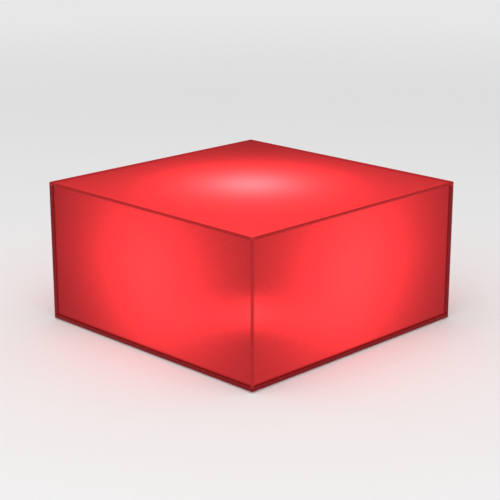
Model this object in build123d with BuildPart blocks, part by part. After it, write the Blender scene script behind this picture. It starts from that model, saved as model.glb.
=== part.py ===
# A glowing garden block: a low square light with a clear outer shell round a milky glowing core.
# Millimetres. +Z is up, the rubber feet stand on Z = 0 and the origin is the centre of the footprint.
# The front of the block is its -Y side, and its right is its +X side.
import math
import os

from build123d import *

os.makedirs("parts", exist_ok=True)

# ---- The block ----
block_side = 200.0  # width and depth over the clear shell
block_height = 100.0  # height of the clear shell
foot_proud = 1.0  # how far the feet hold the shell off the ground
shell_wall = 1.3
shell_edge_radius = 0.8
shell_core_gap = 0.35  # air between the shell's walls and the core
shell_top_gap = 0.45  # air between the shell's top and the core
core_wall = 2.0
core_edge_radius = 0.6

# ---- Clearances ----
bond_gap = 0.1  # a glued or pressed-in piece in its seat
deck_gap = 0.3  # the raised deck inside the core
pin_gap = 0.03  # the hinge pin in its ears
running_gap = 0.08  # what turns or slides on a round piece
button_gap = 0.3  # the button in its hole
thread_gap = 0.05  # a screw in its threaded hole
board_gap = 0.2  # a board's pieces beside what they pass

# ---- Base plate ----
base_flange = 1.75  # the edge of the base that the core stands on
deck_height = 4.0  # thickness of the base inside the core
ring_width = 10.0  # the ring bonded in the core's lower edge
ring_height = 6.0
gasket_thickness = 1.0
base_screw_offset = 45.0  # of each ring screw from the middle of its side
base_screw_sink = 0.2  # the screw heads lie this deep in the base
foot_radius = 8.0
foot_pocket = 1.5
foot_inset = 20.0  # from the block's side to the foot's centre
pillar_radius = 4.0
pillar_inset = 22.0  # from the block's side to the tray pillar's centre

# ---- Control well in the underside ----
well_length = 76.0
well_width = 36.0
well_ring_gap = 6.25  # from the well's outer wall to the ring
well_depth = 8.0
well_wall = 2.0
well_corner = 4.0
button_x = -20.0
button_radius = 7.0
button_height = 3.5  # below the well's roof
button_flange = 1.5  # overhang of the flange that keeps the button in
button_flange_height = 0.9
button_rest_gap = 0.2  # between the flange and the roof
button_dish = 0.6  # hollow of the button's face
button_dish_radius = 5.0
button_dish_taper = 30.0  # degrees
port_x = 20.0
port_length = 10.4  # the oblong hole over the charge socket
port_width = 4.6
light_pipe_radius = 1.5
light_pipe_proud = 0.3

# ---- Port cover ----
hinge_x = 33.0
hinge_drop = 1.85  # of the hinge axis below the well's roof
knuckle_radius = 1.65
hinge_pin_radius = 0.75
hinge_ear_length = 2.5
knuckle_length = 8.0
hinge_side_gap = 0.15
cover_width = 14.0
cover_reach = 24.0  # from the hinge axis to the cover's free edge
cover_thickness = 1.6
cover_corner = 2.0
cover_lip = 1.2  # finger lip under the free edge
seal_gap = 0.05
seal_inset = 1.5  # of the seal from the cover's long edges
seal_end_margin = 3.0  # of the seal past each end of the port
seal_plug_height = 0.8
seal_plug_gap = 0.5

# ---- Control board ----
board_thickness = 1.6
control_board_length = 64.0
control_board_width = 34.0
board_rise = 5.5  # of the board's underside over the well's roof
board_boss_radius = 2.6
board_boss_inset = 4.0
socket_length = 9.0  # the charge socket's oblong metal sleeve
socket_width = 3.3
socket_wall = 0.3
socket_depth = 5.3
socket_recess = 1.2  # of the socket's mouth above the well's roof surface
tongue_length = 6.6
tongue_width = 0.7
tongue_recess = 0.8
port_seal_wall = 2.0
port_seal_height = 1.5
switch_side = 6.0
switch_height = 3.5
plunger_radius = 1.7
plunger_proud = 0.7
plunger_depth = 0.8
plunger_travel = 0.5
button_switch_gap = 0.1
status_led_side = 1.6
status_led_height = 0.7
chip_height = 1.5
led_connector_size = (8.0, 6.0)
led_connector_y = 13.0  # from the board's centre towards the middle of the block
battery_connector_size = (6.0, 8.0)
battery_connector_x = 27.0
battery_connector_y = 4.0
connector_height = 4.0
driver_chip_place = (-18.0, -8.0)
driver_chip_size = (5.0, 6.2)
charger_chip_place = (-4.0, -6.0)
charger_chip_size = (4.0, 4.0)
inductor_place = (9.0, -7.0)
inductor_side = 8.0
inductor_height = 4.0
inductor_corner = 1.0
capacitor_place = (20.0, -9.0)
capacitor_radius = 3.15
capacitor_height = 7.0
capacitor_crimp = 0.4

# ---- Light engine ----
post_side = 36.0
post_wall = 2.0
post_corner = 1.0
post_height = 48.0
post_foot_side = 56.0
post_foot_thickness = 3.0
post_foot_boss_height = 5.0
post_foot_screw_inset = 6.0
collar_height = 5.0
collar_wall = 3.0
cap_thickness = 3.0
pad_thickness = 0.5
pad_margin = 1.0
top_board_side = 32.0
top_board_screw_inset = 3.6
side_board_width = 30.0
side_board_height = 26.0
side_board_drop = 1.0  # of the board's top edge below the post's top
side_board_screw_x = 12.0
led_side = 5.0
led_height = 1.6
led_lens_radius = 2.0
led_lens_height = 0.2
side_led_pitch = (11.0, 12.0)
top_led_pitch = 14.0
lead_window = 6.0
lead_radius = 1.5
lead_gap = 0.4
jumper_radius = 0.5
jumper_bend = 3.0
jumper_tail = 5.0
tray_rise = 23.0  # of the reflector tray over the deck
tray_thickness = 1.5
tray_gap = 1.0
tray_lip = 5.0  # height of the tray's upturned edge

# ---- Battery ----
cell_radius = 9.2
cell_length = 65.0
cell_button_radius = 3.0
cell_button_height = 1.2
cell_gap = 0.4
holder_ring_gap = 1.05  # from the holder to the ring
holder_wall = 2.0
holder_floor = 1.6
holder_wall_height = 14.0
holder_tab_length = 9.0
holder_tab_width = 12.0
contact_room = 3.0
contact_thickness = 0.4
contact_width = 11.0
contact_tail_width = 4.0
contact_tail_height = 1.6
contact_bump_radius = 2.5
battery_lead_radius = 0.8
battery_lead_bend = 6.0
battery_lead_step = 4.0
battery_lead_run = 8.0
pad_foam_length = 56.0
pad_foam_width = 30.0

# ---- Screws ----
m3_shank = 1.45
m3_clear = 1.7
m3_head = 2.75
m3_head_height = 1.9
m3_sunk_head = 2.9
m3_sunk_height = m3_sunk_head - m3_shank  # a right-angled cone
m3_drive = 1.2
m25_shank = 1.2
m25_clear = 1.4
m25_head = 2.1
m25_head_height = 1.4
m25_drive = 0.95
insert_wall = 0.7
insert_length = 5.0
drive_depth = 0.9
sunk_hole_gap = 0.2
sunk_angle = 90.0  # degrees, across the countersink
screw_tip_room = 0.5  # left under a screw's tip in a blind hole
board_screw_bite = 4.0
deck_screw_bite = 2.6
post_screw_bite = 7.0
tray_screw_bite = 8.0

# ---- Levels and sizes that follow ----
z_shell = foot_proud
z_shell_top = z_shell + block_height
z_flange = z_shell + base_flange
z_deck = z_shell + deck_height
z_core_top = z_shell_top - shell_wall - shell_top_gap
shell_inside = block_side - 2 * shell_wall
core_side = shell_inside - 2 * shell_core_gap
core_inside = core_side - 2 * core_wall
base_side = shell_inside - 2 * bond_gap
deck_side = core_inside - 2 * deck_gap
ring_side = core_inside - 2 * bond_gap
z_ring = z_deck + gasket_thickness
ring_line = ring_side / 2 - ring_width / 2
ring_inside = ring_side - 2 * ring_width
foot_place = block_side / 2 - foot_inset
pillar_place = block_side / 2 - pillar_inset
z_roof = z_shell + well_depth
z_roof_top = z_roof + well_wall
z_board = z_roof_top + board_rise
z_board_top = z_board + board_thickness
z_hinge = z_roof - hinge_drop
z_tray = z_deck + tray_rise
z_foot_plate = z_deck + post_foot_boss_height
z_post = z_foot_plate + post_foot_thickness
z_post_top = z_post + post_height
z_cap_top = z_post_top + cap_thickness
z_top_board = z_cap_top + pad_thickness
z_top_board_face = z_top_board + board_thickness
z_side_board = z_post_top - side_board_drop - side_board_height / 2
side_board_back = post_side / 2 + pad_thickness
side_board_face = side_board_back + board_thickness
z_lead = z_board_top + connector_height / 2
well_centre_y = well_ring_gap + well_wall + well_width / 2 - ring_inside / 2
well_centre = (0, well_centre_y)
cell_pitch = 2 * cell_radius + holder_wall + 2 * cell_gap
holder_inside_width = 2 * cell_radius + 2 * cell_gap
holder_width = 2 * holder_inside_width + 3 * holder_wall
holder_centre_y = ring_inside / 2 - holder_ring_gap - holder_width / 2
insert_radius = m3_shank + thread_gap + insert_wall
post_foot_screw_pitch = post_foot_side - 2 * post_foot_screw_inset
collar_side = post_side - 2 * post_wall - 2 * bond_gap
z_post_screw = z_post + collar_height / 2


def four_sides(distance, height):
    """Upright planes facing out of the block's four sides: front, right, rear and left."""
    return [
        Plane(origin=(0, -distance, height), x_dir=(1, 0, 0), z_dir=(0, -1, 0)),
        Plane(origin=(distance, 0, height), x_dir=(0, 1, 0), z_dir=(1, 0, 0)),
        Plane(origin=(0, distance, height), x_dir=(-1, 0, 0), z_dir=(0, 1, 0)),
        Plane(origin=(-distance, 0, height), x_dir=(0, -1, 0), z_dir=(-1, 0, 0)),
    ]


def save(piece, node):
    """Label a finished piece and write it."""
    piece.part.label = node
    export_step(piece.part, f"parts/{node}.step")


def pan_screws(seats, places, head_radius, head_height, shank_radius, shank_length, drive_radius):
    """Pan-head screws with a hexagon drive. Each seat is a plane on the clamped face."""
    with BuildPart() as screws:
        with BuildSketch(*seats):
            with Locations(*places):
                Circle(head_radius)
        extrude(amount=head_height)
        fillet(screws.edges().filter_by(GeomType.CIRCLE), radius=head_height / 4)
        with BuildSketch(*seats):
            with Locations(*places):
                Circle(shank_radius)
        extrude(amount=-shank_length)
        with BuildSketch(*[seat.offset(head_height) for seat in seats]):
            with Locations(*places):
                RegularPolygon(drive_radius, 6)
        extrude(amount=-drive_depth, mode=Mode.SUBTRACT)
    return screws


def m3_screws(seats, places, shank_length):
    return pan_screws(seats, places, m3_head, m3_head_height, m3_shank, shank_length, m3_drive)


def m25_screws(seats, places, shank_length):
    return pan_screws(seats, places, m25_head, m25_head_height, m25_shank, shank_length, m25_drive)


def corners(half_x, half_y):
    """The four corners of a rectangle, as sketch places."""
    return [(x, y) for x in (-half_x, half_x) for y in (-half_y, half_y)]


# ---- Clear shell: five walls moulded in one piece, open below, bonded to the base plate ----
with BuildPart() as outer_shell:
    with BuildSketch(Plane.XY.offset(z_shell)):
        Rectangle(block_side, block_side)
    extrude(amount=block_height)
    upright = outer_shell.edges().filter_by(Axis.Z)
    rim = outer_shell.faces().sort_by(Axis.Z)[-1].edges()
    fillet(upright + rim, radius=shell_edge_radius)
    with BuildSketch(Plane.XY.offset(z_shell)):
        Rectangle(shell_inside, shell_inside)
    extrude(amount=block_height - shell_wall, mode=Mode.SUBTRACT)
save(outer_shell, "outer_shell")

# ---- Milky core: the glowing inner box, open below, standing on the base plate's flange ----
with BuildPart() as diffuser_core:
    with BuildSketch(Plane.XY.offset(z_flange)):
        Rectangle(core_side, core_side)
    extrude(amount=z_core_top - z_flange)
    upright = diffuser_core.edges().filter_by(Axis.Z)
    rim = diffuser_core.faces().sort_by(Axis.Z)[-1].edges()
    fillet(upright + rim, radius=core_edge_radius)
    with BuildSketch(Plane.XY.offset(z_flange)):
        Rectangle(core_inside, core_inside)
    extrude(amount=z_core_top - z_flange - core_wall, mode=Mode.SUBTRACT)
save(diffuser_core, "diffuser_core")

# ---- Base plate: floor of the light, with the control well, bosses and tray pillars ----
base_screw_places = corners(ring_line, base_screw_offset) + corners(base_screw_offset, ring_line)
foot_places = corners(foot_place, foot_place)
pillar_places = corners(pillar_place, pillar_place)
post_foot_places = corners(post_foot_screw_pitch / 2, post_foot_screw_pitch / 2)
board_hole_x = control_board_length / 2 - board_boss_inset
board_hole_y = control_board_width / 2 - board_boss_inset
board_hole_places = [(x, y + well_centre_y) for x, y in corners(board_hole_x, board_hole_y)]
holder_inside_length = cell_length + 2 * contact_room
holder_length = holder_inside_length + 2 * holder_wall
holder_tab_x = holder_length / 2 + holder_tab_length / 2
holder_screw_places = [(-holder_tab_x, holder_centre_y), (holder_tab_x, holder_centre_y)]
ear_centre = knuckle_length / 2 + hinge_side_gap + hinge_ear_length / 2

with BuildPart() as base_plate:
    with BuildSketch(Plane.XY.offset(z_shell)):
        Rectangle(base_side, base_side)
    extrude(amount=base_flange)
    with BuildSketch(Plane.XY.offset(z_flange)):
        Rectangle(deck_side, deck_side)
    extrude(amount=z_deck - z_flange)
    with BuildSketch(Plane.XY.offset(z_deck)):
        with Locations(well_centre):
            RectangleRounded(well_length + 2 * well_wall, well_width + 2 * well_wall, well_corner + well_wall)
    extrude(amount=z_roof_top - z_deck)
    with BuildSketch(Plane.XY.offset(z_deck)):
        with Locations(*post_foot_places):
            Circle(pillar_radius)
    extrude(amount=post_foot_boss_height)
    with BuildSketch(Plane.XY.offset(z_deck)):
        with Locations(*pillar_places):
            Circle(pillar_radius)
    extrude(amount=tray_rise)
    with BuildSketch(Plane.XY.offset(z_roof_top)):
        with Locations(*board_hole_places):
            Circle(board_boss_radius)
    extrude(amount=board_rise)
    # The well, open below
    with BuildSketch(Plane.XY.offset(z_shell)):
        with Locations(well_centre):
            RectangleRounded(well_length, well_width, well_corner)
    extrude(amount=well_depth, mode=Mode.SUBTRACT)
    # Two ears under the well's roof carry the port cover's hinge pin
    for ear_side in (-1, 1):
        ear_plane = Plane.XZ.offset(-(well_centre_y + ear_side * ear_centre))
        with BuildSketch(ear_plane):
            with Locations((hinge_x, z_hinge)):
                Circle(knuckle_radius)
            with Locations((hinge_x, (z_hinge + z_roof) / 2)):
                Rectangle(2 * knuckle_radius, z_roof - z_hinge)
            with Locations((hinge_x, z_hinge)):
                Circle(hinge_pin_radius + pin_gap, mode=Mode.SUBTRACT)
        extrude(amount=hinge_ear_length / 2, both=True)
    # Holes in the roof: button, light pipe and charge port
    with BuildSketch(Plane.XY.offset(z_roof)):
        with Locations((button_x, well_centre_y)):
            Circle(button_radius + button_gap)
        with Locations((0, well_centre_y)):
            Circle(light_pipe_radius + bond_gap)
        with Locations((port_x, well_centre_y)):
            SlotOverall(port_length, port_width)
    extrude(amount=well_wall, mode=Mode.SUBTRACT)
    # Foot pockets, and countersunk holes for the screws that hold the core
    with BuildSketch(Plane.XY.offset(z_shell)):
        with Locations(*foot_places):
            Circle(foot_radius + bond_gap)
    extrude(amount=foot_pocket, mode=Mode.SUBTRACT)
    with Locations(*[Location((x, y, z_shell), (180, 0, 0)) for x, y in base_screw_places]):
        CounterSinkHole(m3_clear, m3_sunk_head + sunk_hole_gap, counter_sink_angle=sunk_angle)
    # Blind pilot holes for the screws inside
    with BuildSketch(Plane.XY.offset(z_roof_top + board_rise)):
        with Locations(*board_hole_places):
            Circle(m25_shank + thread_gap)
    extrude(amount=-(board_screw_bite + screw_tip_room), mode=Mode.SUBTRACT)
    with BuildSketch(Plane.XY.offset(z_deck)):
        with Locations(*holder_screw_places):
            Circle(m25_shank + thread_gap)
    extrude(amount=-(deck_screw_bite + screw_tip_room), mode=Mode.SUBTRACT)
    with BuildSketch(Plane.XY.offset(z_foot_plate)):
        with Locations(*post_foot_places):
            Circle(m3_shank + thread_gap)
    extrude(amount=-(post_screw_bite + screw_tip_room), mode=Mode.SUBTRACT)
    with BuildSketch(Plane.XY.offset(z_tray)):
        with Locations(*pillar_places):
            Circle(m3_shank + thread_gap)
    extrude(amount=-(tray_screw_bite + screw_tip_room), mode=Mode.SUBTRACT)
save(base_plate, "base_plate")

# ---- Ring bonded inside the core's lower edge, with brass inserts for the base screws ----
with BuildPart() as mounting_ring:
    with BuildSketch(Plane.XY.offset(z_ring)):
        Rectangle(ring_side, ring_side)
        Rectangle(ring_inside, ring_inside, mode=Mode.SUBTRACT)
    extrude(amount=ring_height)
    with BuildSketch(Plane.XY.offset(z_ring)):
        with Locations(*base_screw_places):
            Circle(insert_radius + thread_gap)
    extrude(amount=insert_length, mode=Mode.SUBTRACT)
save(mounting_ring, "mounting_ring")

with BuildPart() as threaded_inserts:
    with BuildSketch(Plane.XY.offset(z_ring)):
        with Locations(*base_screw_places):
            Circle(insert_radius)
            Circle(m3_shank + thread_gap, mode=Mode.SUBTRACT)
    extrude(amount=insert_length)
save(threaded_inserts, "threaded_inserts")

# ---- Gasket squeezed between the base plate's deck and the ring ----
with BuildPart() as base_gasket:
    with BuildSketch(Plane.XY.offset(z_deck)):
        Rectangle(deck_side, deck_side)
        Rectangle(ring_inside, ring_inside, mode=Mode.SUBTRACT)
        with Locations(*base_screw_places):
            Circle(m3_clear, mode=Mode.SUBTRACT)
    extrude(amount=gasket_thickness)
save(base_gasket, "base_gasket")

# ---- Countersunk screws from below, through the base plate and gasket into the inserts ----
z_base_screw = z_shell + base_screw_sink
base_screw_length = z_ring + insert_length - screw_tip_room - z_base_screw
stand_up = (Align.CENTER, Align.CENTER, Align.MIN)
with BuildPart() as base_screws:
    with Locations(*[(x, y, z_base_screw) for x, y in base_screw_places]):
        Cone(m3_sunk_head, m3_shank, m3_sunk_height, align=stand_up)
        Cylinder(m3_shank, base_screw_length, align=stand_up)
    with BuildSketch(Plane.XY.offset(z_base_screw)):
        with Locations(*base_screw_places):
            RegularPolygon(m3_drive, 6)
    extrude(amount=drive_depth, mode=Mode.SUBTRACT)
save(base_screws, "base_screws")

# ---- Rubber feet, each bonded in its pocket ----
foot_names = ["foot_front_left", "foot_rear_left", "foot_front_right", "foot_rear_right"]
for foot_name, place in zip(foot_names, foot_places):
    with BuildPart() as rubber_foot:
        with BuildSketch(Plane.XY):
            with Locations(place):
                Circle(foot_radius)
        extrude(amount=foot_proud + foot_pocket)
        fillet(rubber_foot.edges().sort_by(Axis.Z)[0], radius=foot_proud / 2)
    save(rubber_foot, foot_name)

# ---- Reflector tray: white floor under the glow, hung on the pillars, with an upturned edge ----
tray_side = core_inside - 2 * tray_gap
with BuildPart() as reflector_tray:
    with BuildSketch(Plane.XY.offset(z_tray)):
        Rectangle(tray_side, tray_side)
    extrude(amount=tray_lip)
    with BuildSketch(Plane.XY.offset(z_tray + tray_thickness)):
        Rectangle(tray_side - 2 * tray_thickness, tray_side - 2 * tray_thickness)
    extrude(amount=tray_lip - tray_thickness, mode=Mode.SUBTRACT)
    with BuildSketch(Plane.XY.offset(z_tray)):
        Rectangle(post_side + 2 * board_gap, post_side + 2 * board_gap)
        with Locations(*pillar_places):
            Circle(m3_clear)
    extrude(amount=tray_thickness, mode=Mode.SUBTRACT)
save(reflector_tray, "reflector_tray")

tray_face = Plane.XY.offset(z_tray + tray_thickness)
tray_screws = m3_screws([tray_face], pillar_places, tray_thickness + tray_screw_bite)
save(tray_screws, "tray_screws")

# ---- Light post: a square aluminium tube that carries the LED boards and cools them ----
with BuildPart() as post_foot:
    with BuildSketch(Plane.XY.offset(z_foot_plate)):
        RectangleRounded(post_foot_side, post_foot_side, post_foot_screw_inset)
        with Locations(*post_foot_places):
            Circle(m3_clear, mode=Mode.SUBTRACT)
    extrude(amount=post_foot_thickness)
    with BuildSketch(Plane.XY.offset(z_post)):
        Rectangle(collar_side, collar_side)
        Rectangle(collar_side - 2 * collar_wall, collar_side - 2 * collar_wall, mode=Mode.SUBTRACT)
    extrude(amount=collar_height)
    with BuildSketch(*four_sides(collar_side / 2, z_post_screw)[1::2]):
        Circle(m25_shank + thread_gap)
    extrude(amount=-collar_wall, mode=Mode.SUBTRACT)
save(post_foot, "post_foot")

foot_face = Plane.XY.offset(z_post)
post_foot_screws = m3_screws([foot_face], post_foot_places, post_foot_thickness + post_screw_bite)
save(post_foot_screws, "post_foot_screws")

side_board_screw_places = [(-side_board_screw_x, 0), (side_board_screw_x, 0)]
with BuildPart() as led_post:
    with BuildSketch(Plane.XY.offset(z_post)):
        RectangleRounded(post_side, post_side, post_corner)
        Rectangle(post_side - 2 * post_wall, post_side - 2 * post_wall, mode=Mode.SUBTRACT)
    extrude(amount=post_height)
    # Window in the front wall for the lead, screw holes for the collar and the boards
    with BuildSketch(four_sides(post_side / 2, z_lead)[0]):
        Rectangle(lead_window, lead_window)
    extrude(amount=-post_wall, mode=Mode.SUBTRACT)
    with BuildSketch(*four_sides(post_side / 2, z_post_screw)[1::2]):
        Circle(m25_clear)
    extrude(amount=-post_wall, mode=Mode.SUBTRACT)
    with BuildSketch(*four_sides(post_side / 2, z_side_board)):
        with Locations(*side_board_screw_places):
            Circle(m25_shank + thread_gap)
    extrude(amount=-post_wall, mode=Mode.SUBTRACT)
save(led_post, "led_post")

collar_screw_length = post_wall + bond_gap + collar_wall - screw_tip_room
collar_screw_faces = four_sides(post_side / 2, z_post_screw)[1::2]
post_side_screws = m25_screws(collar_screw_faces, [(0, 0)], collar_screw_length)
save(post_side_screws, "post_side_screws")

top_board_screw = top_board_side / 2 - top_board_screw_inset
top_board_screw_places = corners(top_board_screw, top_board_screw)
with BuildPart() as post_cap:
    with BuildSketch(Plane.XY.offset(z_post_top)):
        RectangleRounded(post_side, post_side, post_corner)
    extrude(amount=cap_thickness)
    with BuildSketch(Plane.XY.offset(z_post_top - collar_height)):
        Rectangle(collar_side, collar_side)
    extrude(amount=collar_height)
    with BuildSketch(Plane.XY.offset(z_post_top - collar_height)):
        Rectangle(collar_side - 2 * collar_wall, collar_side - 2 * collar_wall)
    extrude(amount=collar_height, mode=Mode.SUBTRACT)
    with BuildSketch(Plane.XY.offset(z_post_top)):
        Circle(lead_radius + lead_gap)
        with Locations(*top_board_screw_places):
            Circle(m25_shank + thread_gap)
    extrude(amount=cap_thickness, mode=Mode.SUBTRACT)
save(post_cap, "post_cap")

# ---- LED boards on the post's four faces and on its cap, on soft thermal pads ----
board_names = ["led_board_front", "led_board_right", "led_board_rear", "led_board_left"]
for board_name, plane in zip(board_names, four_sides(side_board_back, z_side_board)):
    with BuildPart() as side_board:
        with BuildSketch(plane):
            Rectangle(side_board_width, side_board_height)
            with Locations(*side_board_screw_places):
                Circle(m25_clear, mode=Mode.SUBTRACT)
        extrude(amount=board_thickness)
    save(side_board, board_name)

with BuildPart() as led_board_top:
    with BuildSketch(Plane.XY.offset(z_top_board)):
        Rectangle(top_board_side, top_board_side)
        Circle(lead_radius + lead_gap, mode=Mode.SUBTRACT)
        with Locations(*top_board_screw_places):
            Circle(m25_clear, mode=Mode.SUBTRACT)
    extrude(amount=board_thickness)
save(led_board_top, "led_board_top")

with BuildPart() as thermal_pads:
    with BuildSketch(*four_sides(post_side / 2, z_side_board)):
        Rectangle(side_board_width - 2 * pad_margin, side_board_height - 2 * pad_margin)
        with Locations(*side_board_screw_places):
            Circle(m25_clear, mode=Mode.SUBTRACT)
    extrude(amount=pad_thickness)
    with BuildSketch(Plane.XY.offset(z_cap_top)):
        Rectangle(top_board_side - 2 * pad_margin, top_board_side - 2 * pad_margin)
        Circle(lead_radius + lead_gap, mode=Mode.SUBTRACT)
        with Locations(*top_board_screw_places):
            Circle(m25_clear, mode=Mode.SUBTRACT)
    extrude(amount=pad_thickness)
save(thermal_pads, "thermal_pads")


def led_group(faces, places):
    """Square surface-mounted LEDs, each with a low round window."""
    with BuildPart() as group:
        with BuildSketch(*faces):
            with Locations(*places):
                Rectangle(led_side, led_side)
        extrude(amount=led_height - led_lens_height)
        with BuildSketch(*[face.offset(led_height - led_lens_height) for face in faces]):
            with Locations(*places):
                Circle(led_lens_radius)
        extrude(amount=led_lens_height)
    return group


side_led_places = corners(side_led_pitch[0] / 2, side_led_pitch[1] / 2)
side_leds = led_group(four_sides(side_board_face, z_side_board), side_led_places)
save(side_leds, "side_leds")
top_led_places = corners(top_led_pitch / 2, top_led_pitch / 2)
top_leds = led_group([Plane.XY.offset(z_top_board_face)], top_led_places)
save(top_leds, "top_leds")

with BuildPart() as led_board_screws:
    add(
        m25_screws(
            four_sides(side_board_face, z_side_board),
            side_board_screw_places,
            board_thickness + pad_thickness + post_wall,
        ).part
    )
    add(
        m25_screws(
            [Plane.XY.offset(z_top_board_face)],
            top_board_screw_places,
            board_thickness + pad_thickness + cap_thickness,
        ).part
    )
save(led_board_screws, "led_board_screws")

# ---- Short jumpers from the top board over its edge to each side board ----
jumper_x = side_board_face + jumper_radius
jumper_z = z_top_board_face + jumper_radius
jumper_start = top_board_side / 2 - m25_head
jumper_end = z_post_top - side_board_drop - jumper_tail
with BuildPart() as board_jumpers:
    for turn in range(4):
        jumper_plane = Plane.XZ.rotated((0, 0, 90 * turn))
        with BuildLine(jumper_plane) as jumper_line:
            FilletPolyline(
                (jumper_start, jumper_z),
                (jumper_x, jumper_z),
                (jumper_x, jumper_end),
                radius=jumper_bend,
            )
        with BuildSketch(Plane(origin=jumper_line.line @ 0, z_dir=jumper_line.line % 0)):
            Circle(jumper_radius)
        sweep(path=jumper_line.line)
save(board_jumpers, "board_jumpers")

# ---- LED lead: from its connector through the post's window and up the post to the top board ----
led_connector_place = (0, well_centre_y + led_connector_y)
lead_start_y = led_connector_place[1] + led_connector_size[1] / 2
lead_room = post_side / 2 - post_wall - lead_radius
with BuildPart() as led_lead:
    with BuildLine(Plane.YZ) as lead_line:
        FilletPolyline((lead_start_y, z_lead), (0, z_lead), (0, z_top_board_face), radius=lead_room)
    with BuildSketch(Plane(origin=lead_line.line @ 0, z_dir=lead_line.line % 0)):
        Circle(lead_radius)
    sweep(path=lead_line.line)
save(led_lead, "led_lead")

# ---- Battery holder: open tray for two cells side by side, screwed to the deck ----
cell_places = [holder_centre_y - cell_pitch / 2, holder_centre_y + cell_pitch / 2]
z_holder_floor = z_deck + holder_floor
z_cell = z_holder_floor + cell_gap + cell_radius
z_holder_top = z_deck + holder_wall_height
with BuildPart() as battery_holder:
    with BuildSketch(Plane.XY.offset(z_deck)):
        with Locations((0, holder_centre_y)):
            Rectangle(holder_length, holder_width)
            Rectangle(holder_length + 2 * holder_tab_length, holder_tab_width)
        with Locations(*holder_screw_places):
            Circle(m25_clear, mode=Mode.SUBTRACT)
    extrude(amount=holder_floor)
    with BuildSketch(Plane.XY.offset(z_holder_floor)):
        with Locations((0, holder_centre_y)):
            Rectangle(holder_length, holder_width)
        with Locations(*[(0, y) for y in cell_places]):
            Rectangle(holder_inside_length, holder_inside_width, mode=Mode.SUBTRACT)
    extrude(amount=holder_wall_height - holder_floor)
save(battery_holder, "battery_holder")

tab_face = Plane.XY.offset(z_holder_floor)
holder_screws = m25_screws([tab_face], holder_screw_places, holder_floor + deck_screw_bite)
save(holder_screws, "holder_screws")

# The front cell's positive end points right, the rear cell's points left
cell_names = ["battery_cell_front", "battery_cell_rear"]
cell_ends = [1, -1]
for cell_name, cell_y, cell_end in zip(cell_names, cell_places, cell_ends):
    with BuildPart() as battery_cell:
        with BuildSketch(Plane.YZ.offset(-cell_length / 2)):
            with Locations((cell_y, z_cell)):
                Circle(cell_radius)
        extrude(amount=cell_length)
        fillet(battery_cell.edges().filter_by(GeomType.CIRCLE), radius=contact_thickness)
        with BuildSketch(Plane.YZ.offset(cell_end * cell_length / 2)):
            with Locations((cell_y, z_cell)):
                Circle(cell_button_radius)
        extrude(amount=cell_end * cell_button_height)
    save(battery_cell, cell_name)

# ---- Battery contacts: plates against the end walls, with a dome pressed on the cell ----
z_contact_tail = z_lead + battery_lead_radius
contact_face = holder_inside_length / 2


def contact(side, cell_y, reach, has_tail):
    """One contact plate at the holder's end wall, with its dome and perhaps a tail for a lead."""
    inner = side * (contact_face - contact_thickness)
    tail_top = z_contact_tail + contact_tail_height if has_tail else z_holder_top
    with BuildPart() as plate:
        with BuildSketch(Plane.YZ.offset(inner)):
            with Locations((cell_y, (z_holder_floor + z_holder_top) / 2)):
                Rectangle(contact_width, z_holder_top - z_holder_floor)
            if has_tail:
                with Locations((cell_y, (z_holder_top + tail_top) / 2)):
                    Rectangle(contact_tail_width, tail_top - z_holder_top)
        extrude(amount=side * contact_thickness)
        with BuildSketch(Plane.YZ.offset(inner)):
            with Locations((cell_y, z_cell)):
                Circle(contact_bump_radius)
        extrude(amount=-side * reach)
    return plate


reach_flat = contact_room - contact_thickness
reach_button = reach_flat - cell_button_height
front_y = cell_places[0]
rear_y = cell_places[1]
contact_positive = contact(1, front_y, reach_button, True)
save(contact_positive, "contact_positive")
contact_negative = contact(1, rear_y, reach_flat, True)
save(contact_negative, "contact_negative")

# The link joins the two cells at the left end, over the holder's middle wall
with BuildPart() as contact_link:
    add(contact(-1, front_y, reach_flat, False).part)
    add(contact(-1, rear_y, reach_button, False).part)
    with BuildSketch(Plane.YZ.offset(-(contact_face - contact_thickness))):
        with Locations((holder_centre_y, z_holder_top + contact_tail_height / 2)):
            Rectangle(cell_pitch + contact_width, contact_tail_height)
    extrude(amount=-contact_thickness)
save(contact_link, "contact_link")

# ---- Foam pad that keeps the cells down under the reflector tray ----
z_cell_top = z_cell + cell_radius
with BuildPart() as battery_foam_pad:
    with BuildSketch(Plane.XY.offset(z_cell_top + bond_gap)):
        with Locations((0, holder_centre_y)):
            Rectangle(pad_foam_length, pad_foam_width)
    extrude(amount=z_tray - z_cell_top - bond_gap)
save(battery_foam_pad, "battery_foam_pad")

# ---- Battery leads: out of the contact tails, round the post's foot, into the connector ----
battery_connector_place = (battery_connector_x, well_centre_y + battery_connector_y)
connector_face = battery_connector_x + battery_connector_size[0] / 2
connector_pitch = battery_connector_size[1] / 4


def battery_lead(cell_y, out_x, connector_y):
    """A limp round lead, lying level from a contact tail to the battery connector."""
    start_x = contact_face
    with BuildPart() as lead:
        with BuildLine(Plane.XY.offset(z_lead)) as route:
            FilletPolyline(
                (start_x, cell_y),
                (out_x, cell_y),
                (out_x, connector_y),
                (connector_face, connector_y),
                radius=battery_lead_bend,
            )
        with BuildSketch(Plane(origin=route.line @ 0, z_dir=route.line % 0)):
            Circle(battery_lead_radius)
        sweep(path=route.line)
    length = sum(edge.length for edge in route.edges())
    swept = lead.part.volume / (math.pi * battery_lead_radius**2)
    print(f"battery lead: length {length:.1f}, volume over section {swept:.1f}, bends {battery_lead_bend}")
    return lead


lead_out = holder_length / 2 + battery_lead_run
lead_y_near = battery_connector_place[1] + connector_pitch
lead_y_far = battery_connector_place[1] - connector_pitch
battery_lead_positive = battery_lead(front_y, lead_out, lead_y_near)
save(battery_lead_positive, "battery_lead_positive")
battery_lead_negative = battery_lead(rear_y, lead_out + battery_lead_step, lead_y_far)
save(battery_lead_negative, "battery_lead_negative")

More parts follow.
